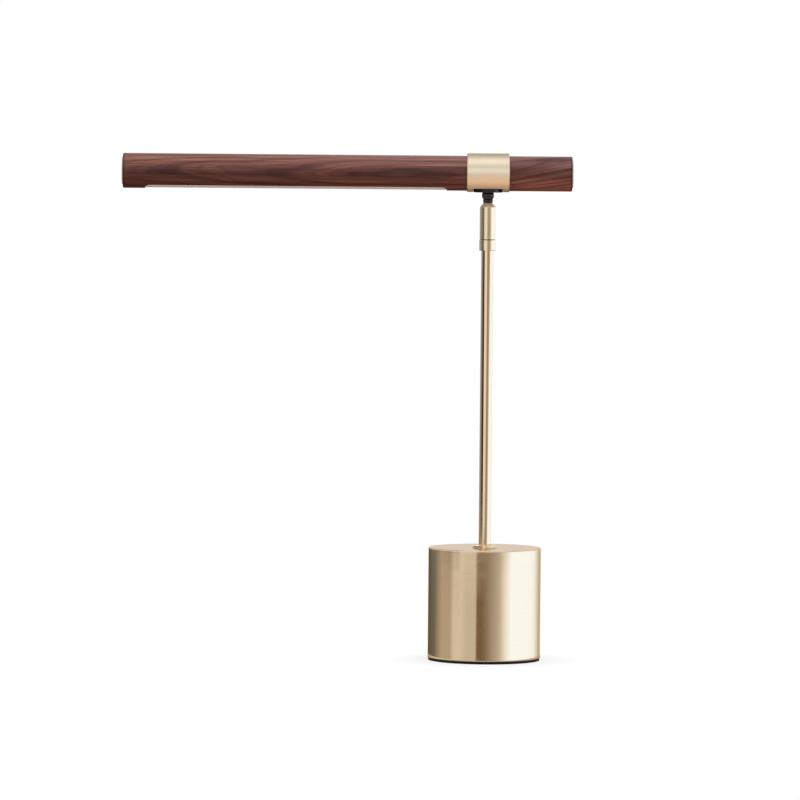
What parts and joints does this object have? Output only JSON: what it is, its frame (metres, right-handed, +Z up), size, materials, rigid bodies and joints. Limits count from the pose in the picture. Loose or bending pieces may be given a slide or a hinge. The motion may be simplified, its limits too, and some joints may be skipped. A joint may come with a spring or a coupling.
{
  "type": "adjustable desk lamp",
  "caption": "Desk lamp with a round walnut light bar carried off centre in a brass sleeve, on a ball joint and swivel over a slim brass stem and a heavy drum base",
  "frame": {"origin": "on the table at the centre of the foot pad's underside, on the stem's axis", "axes": "+Z up along the stem, +X along the light bar towards its short end, +Y to the back where the switch and the cord inlet are"},
  "size_m": [0.4, 0.1039, 0.4498],
  "materials": {
    "brass": "satin lacquered",
    "walnut": "satin lacquered walnut",
    "black_metal": "gloss black",
    "pad": "matt",
    "iron": "as cast, faces turned",
    "steel": "zinc plated",
    "nylon": "matt",
    "black_plastic": "semi gloss",
    "housing": "matt",
    "alloy": "mill finish",
    "board": "white solder resist",
    "chips": "phosphor",
    "opal": "opal satin",
    "lead": "smooth"
  },
  "bodies": {
    "base": {"base_shell": "brass", "base_weight": "iron", "foot_pad": "pad", "stem": "brass", "stem_collar": "brass", "stem_washer": "steel", "stem_nut": "steel", "led_driver": "housing", "driver_screws": "steel", "cord_inlet": "pad", "switch_body": "black_plastic", "switch_bezel": "brass", "swivel_ferrule": "brass", "swivel_washer": "nylon", "stop_pin": "steel", "pivot_screw": "steel", "pivot_spring": "steel", "stem_lead": "lead"},
    "button": {"switch_button": "black_plastic"},
    "swivel": {"swivel_barrel": "brass", "ball_cup": "black_metal", "barrel_plug": "steel", "tension_rod": "steel", "disc_springs": "steel", "spring_washer": "steel", "rod_nut": "steel", "barrel_lead": "lead"},
    "joint_washer": {"pressure_washer": "nylon"},
    "head": {"ball_stud": "black_metal", "clamp_plate": "black_metal", "sleeve": "brass", "saddle_washer": "steel", "stud_nut": "steel", "bar": "walnut", "left_end_cap": "opal", "right_end_cap": "opal", "led_channel": "alloy", "led_board": "board", "led_chips": "chips", "board_screws": "steel", "diffuser": "opal", "head_lead": "lead"}
  },
  "joints": [
    {"name": "switch_press", "type": "slide", "parent": "base", "child": "button", "axis": [0, -1, 0], "range_m": [0, 0.002], "stiffness_N_per_m": 800, "springref_m": -0.001},
    {"name": "swivel_turn", "type": "hinge", "parent": "base", "child": "swivel", "pos_m": [0, 0, 0.374], "axis": [0, 0, 1], "range_deg": [-165, 165]},
    {"name": "head_roll", "type": "hinge", "parent": "swivel", "child": "joint_washer", "pos_m": [0, 0, 0.4127], "axis": [1, 0, 0], "range_deg": [-20, 20]},
    {"name": "head_tilt", "type": "hinge", "parent": "joint_washer", "child": "head", "pos_m": [0, 0, 0.4127], "axis": [0, 1, 0], "range_deg": [-25, 25]}
  ]
}
